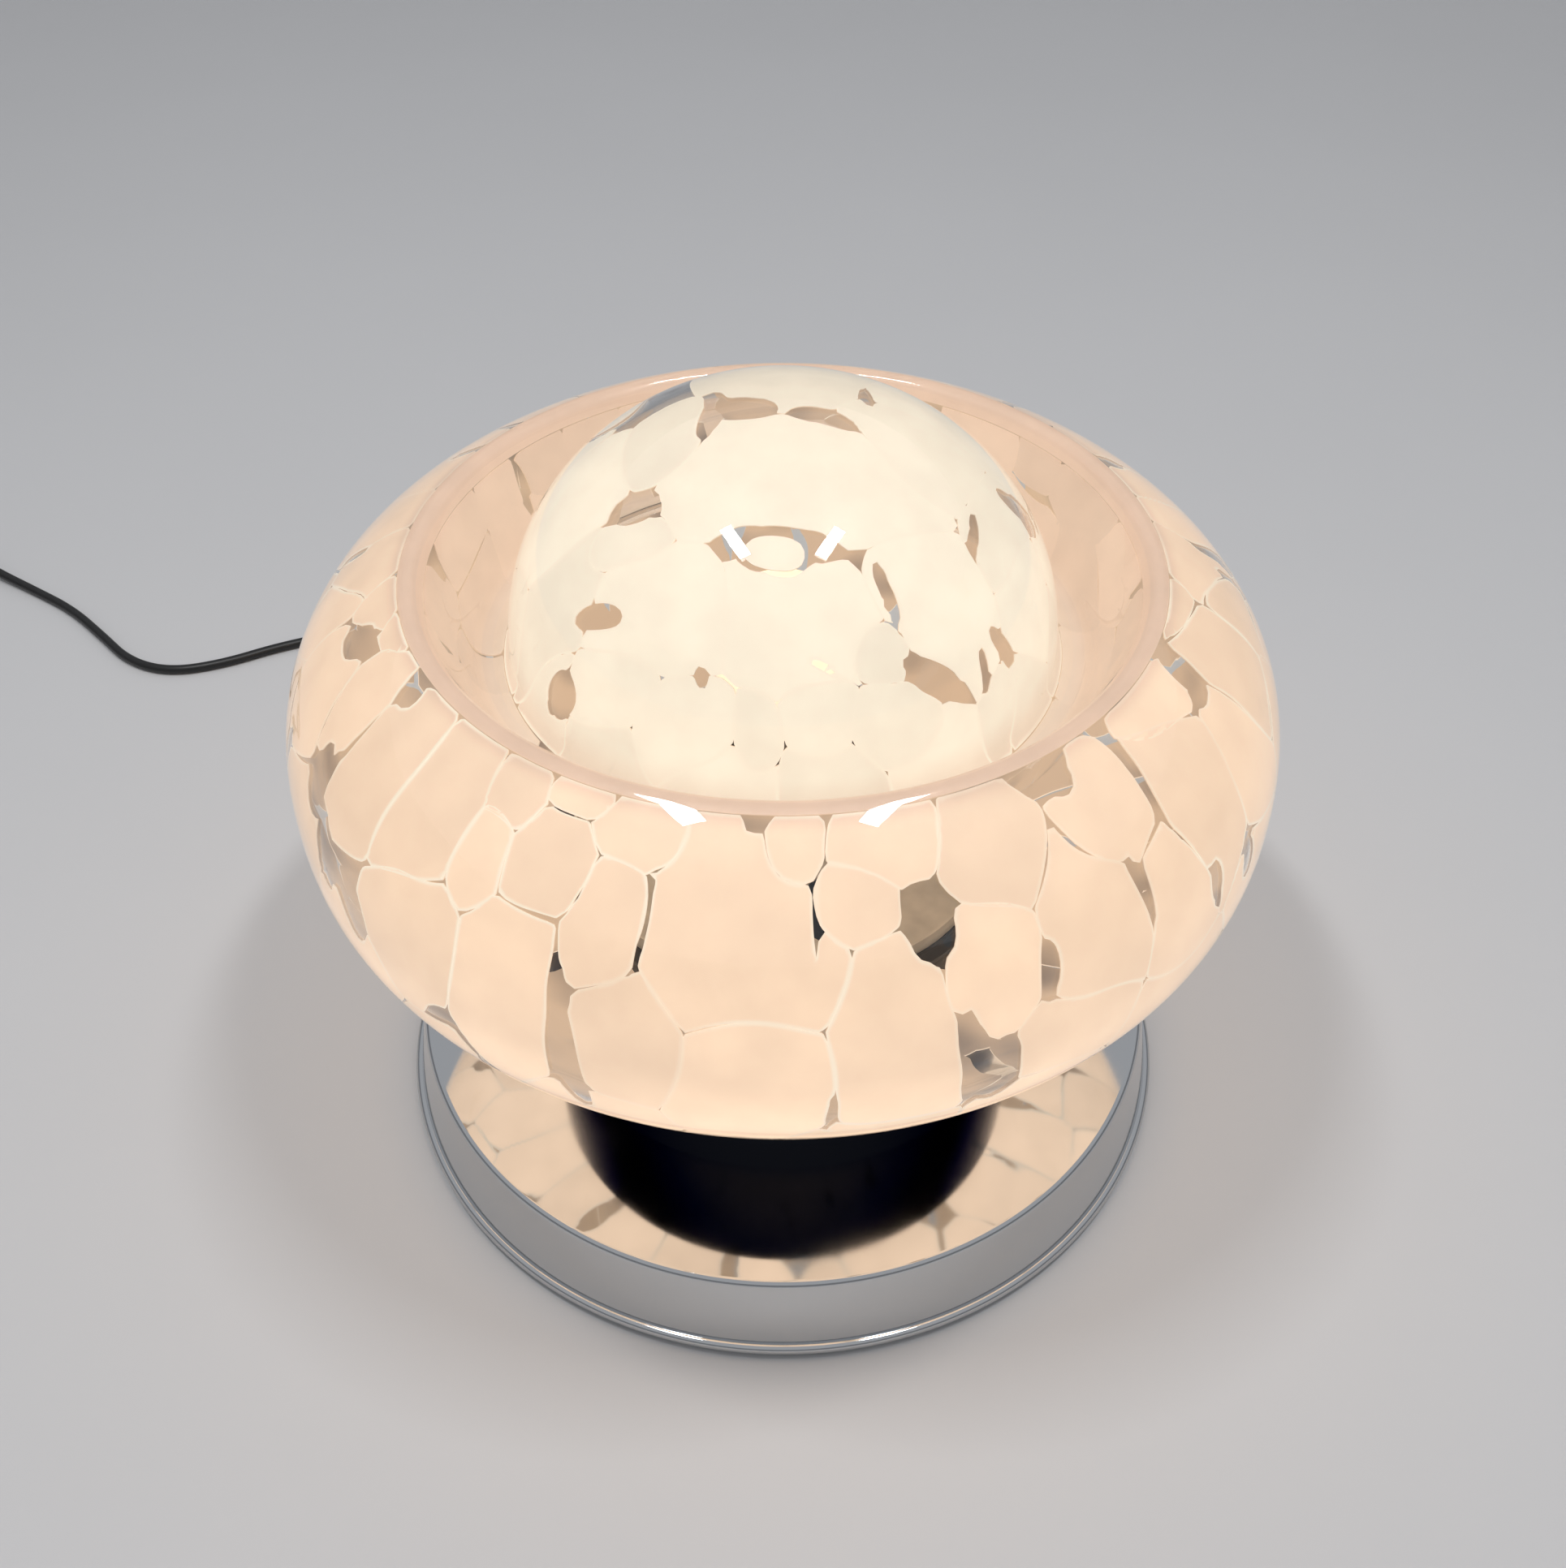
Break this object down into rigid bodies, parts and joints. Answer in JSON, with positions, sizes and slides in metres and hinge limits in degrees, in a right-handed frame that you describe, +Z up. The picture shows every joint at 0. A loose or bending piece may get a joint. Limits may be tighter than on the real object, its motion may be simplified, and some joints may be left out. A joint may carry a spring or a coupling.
{
  "type": "glass table lamp",
  "caption": "Table lamp with a blown mushroom shade of opal-blotched glass on a dark drum and wide chromed base, with a corded inline switch.",
  "frame": {"origin": "on the table under the centre of the base", "axes": "+Z up through the shade's axis, +Y towards the cord gland at the back, +X to the right seen from the front"},
  "size_m": [0.9103, 0.6268, 0.347],
  "materials": {
    "base_shell": "polished",
    "pedestal_drum": "black nickel plated",
    "ballast_disc": "rough cast",
    "felt_pad": "felt",
    "bottom_cover": "matt black",
    "cover_standoffs": "zinc plated",
    "cover_screws": "zinc plated",
    "gallery_plate": "white enamel",
    "seat_gasket": "matt",
    "threaded_tube": "zinc plated",
    "tube_washers": "zinc plated",
    "tube_nuts": "zinc plated",
    "holder_cap": "moulded",
    "holder_shell": "moulded",
    "holder_insert": "glazed",
    "holder_sleeve": "plain",
    "holder_contact": "plain",
    "bulb_contact": "plain",
    "bulb_insulator": "black glass",
    "bulb_cap": "nickel plated",
    "bulb_glass": "opal",
    "glass_shade": "opal blotches in clear glass",
    "cord_gland": "moulded",
    "gland_nut": "moulded",
    "cord_inside": "satin",
    "cord_clamp": "moulded",
    "clamp_screws": "zinc plated",
    "terminal_block": "moulded",
    "terminal_screws": "plain",
    "inner_wires": "insulated",
    "switch_lower": "moulded",
    "switch_upper": "moulded",
    "switch_pin": "zinc plated",
    "switch_contacts": "plain",
    "switch_screws": "zinc plated",
    "switch_rocker": "gloss",
    "cord_coil": "satin",
    "cord_lead": "satin",
    "cord_link": "satin",
    "cord_tail": "satin",
    "plug_body": "moulded",
    "plug_sleeve": "moulded",
    "plug_pins": "nickel plated"
  },
  "bodies": {
    "lamp": {"base_shell": "base_shell", "pedestal_drum": "pedestal_drum", "ballast_disc": "ballast_disc", "felt_pad": "felt_pad", "bottom_cover": "bottom_cover", "cover_standoffs": "cover_standoffs", "cover_screws": "cover_screws", "gallery_plate": "gallery_plate", "seat_gasket": "seat_gasket", "threaded_tube": "threaded_tube", "tube_washers": "tube_washers", "tube_nuts": "tube_nuts", "holder_cap": "holder_cap", "holder_shell": "holder_shell", "holder_insert": "holder_insert", "holder_sleeve": "holder_sleeve", "holder_contact": "holder_contact", "cord_gland": "cord_gland", "gland_nut": "gland_nut", "cord_inside": "cord_inside", "cord_clamp": "cord_clamp", "clamp_screws": "clamp_screws", "terminal_block": "terminal_block", "terminal_screws": "terminal_screws", "inner_wires": "inner_wires", "switch_lower": "switch_lower", "switch_upper": "switch_upper", "switch_pin": "switch_pin", "switch_contacts": "switch_contacts", "switch_screws": "switch_screws", "cord_coil": "cord_coil", "cord_lead": "cord_lead", "cord_link": "cord_link", "cord_tail": "cord_tail", "plug_body": "plug_body", "plug_sleeve": "plug_sleeve", "plug_pins": "plug_pins"},
    "shade": {"glass_shade": "glass_shade"},
    "bulb": {"bulb_contact": "bulb_contact", "bulb_insulator": "bulb_insulator", "bulb_cap": "bulb_cap", "bulb_glass": "bulb_glass"},
    "rocker": {"switch_rocker": "switch_rocker"}
  },
  "joints": [
    {"name": "shade_lift", "type": "slide", "parent": "lamp", "child": "shade", "axis": [0, 0, 1], "range_m": [0, 0.15]},
    {"name": "bulb_turn", "type": "hinge", "parent": "lamp", "child": "bulb", "pos_m": [0, 0, 0.2], "axis": [0, 0, 1], "range_deg": [0, 900]},
    {"name": "switch_rocker_tilt", "type": "hinge", "parent": "lamp", "child": "rocker", "pos_m": [-0.60232, 0.41045, 0.014], "axis": [0.2079, 0.9781, 0], "range_deg": [0, 16]}
  ]
}
